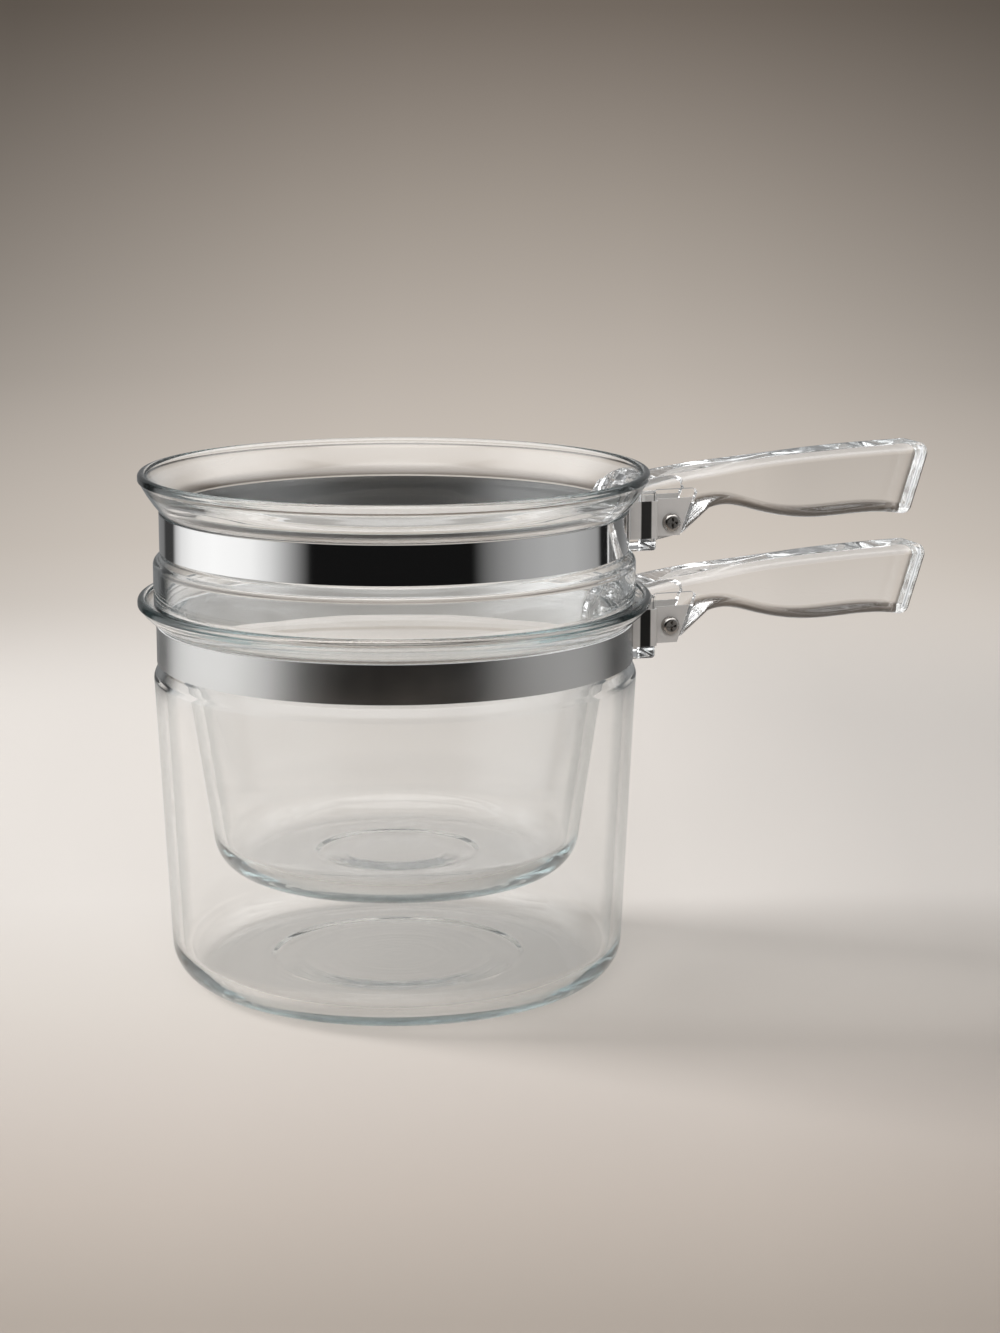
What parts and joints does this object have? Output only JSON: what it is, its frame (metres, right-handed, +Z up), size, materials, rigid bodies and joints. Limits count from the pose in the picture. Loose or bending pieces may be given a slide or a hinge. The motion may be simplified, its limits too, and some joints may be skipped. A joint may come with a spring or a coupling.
{
  "type": "double boiler",
  "caption": "Clear glass double boiler: a deep insert hangs in the mouth of a round saucepan, each with a steel neck strap screwed to a long clear glass handle.",
  "frame": {"origin": "middle of the saucepan's underside", "axes": "+Z up along the axis of both bowls, +X out along both handles, -Y towards the screw heads"},
  "size_m": [0.2701, 0.166, 0.168],
  "materials": {
    "bowl_glass": "clear polished, faint blue-green in thick edges",
    "handle_glass": "clear pressed glass, fire polished",
    "band_steel": "bright strip, finely brushed along its length",
    "fastener_steel": "plated, worn to a satin shine"
  },
  "bodies": {
    "saucepan": {"saucepan_bowl": "bowl_glass", "saucepan_band": "band_steel", "saucepan_handle": "handle_glass", "saucepan_screw": "fastener_steel", "saucepan_nut": "fastener_steel"},
    "insert": {"insert_bowl": "bowl_glass", "insert_band": "band_steel", "insert_handle": "handle_glass", "insert_screw": "fastener_steel", "insert_nut": "fastener_steel"}
  },
  "joints": [
    {"name": "insert_lift", "type": "slide", "parent": "saucepan", "child": "insert", "axis": [0, 0, 1], "range_m": [0, 0.11]}
  ]
}
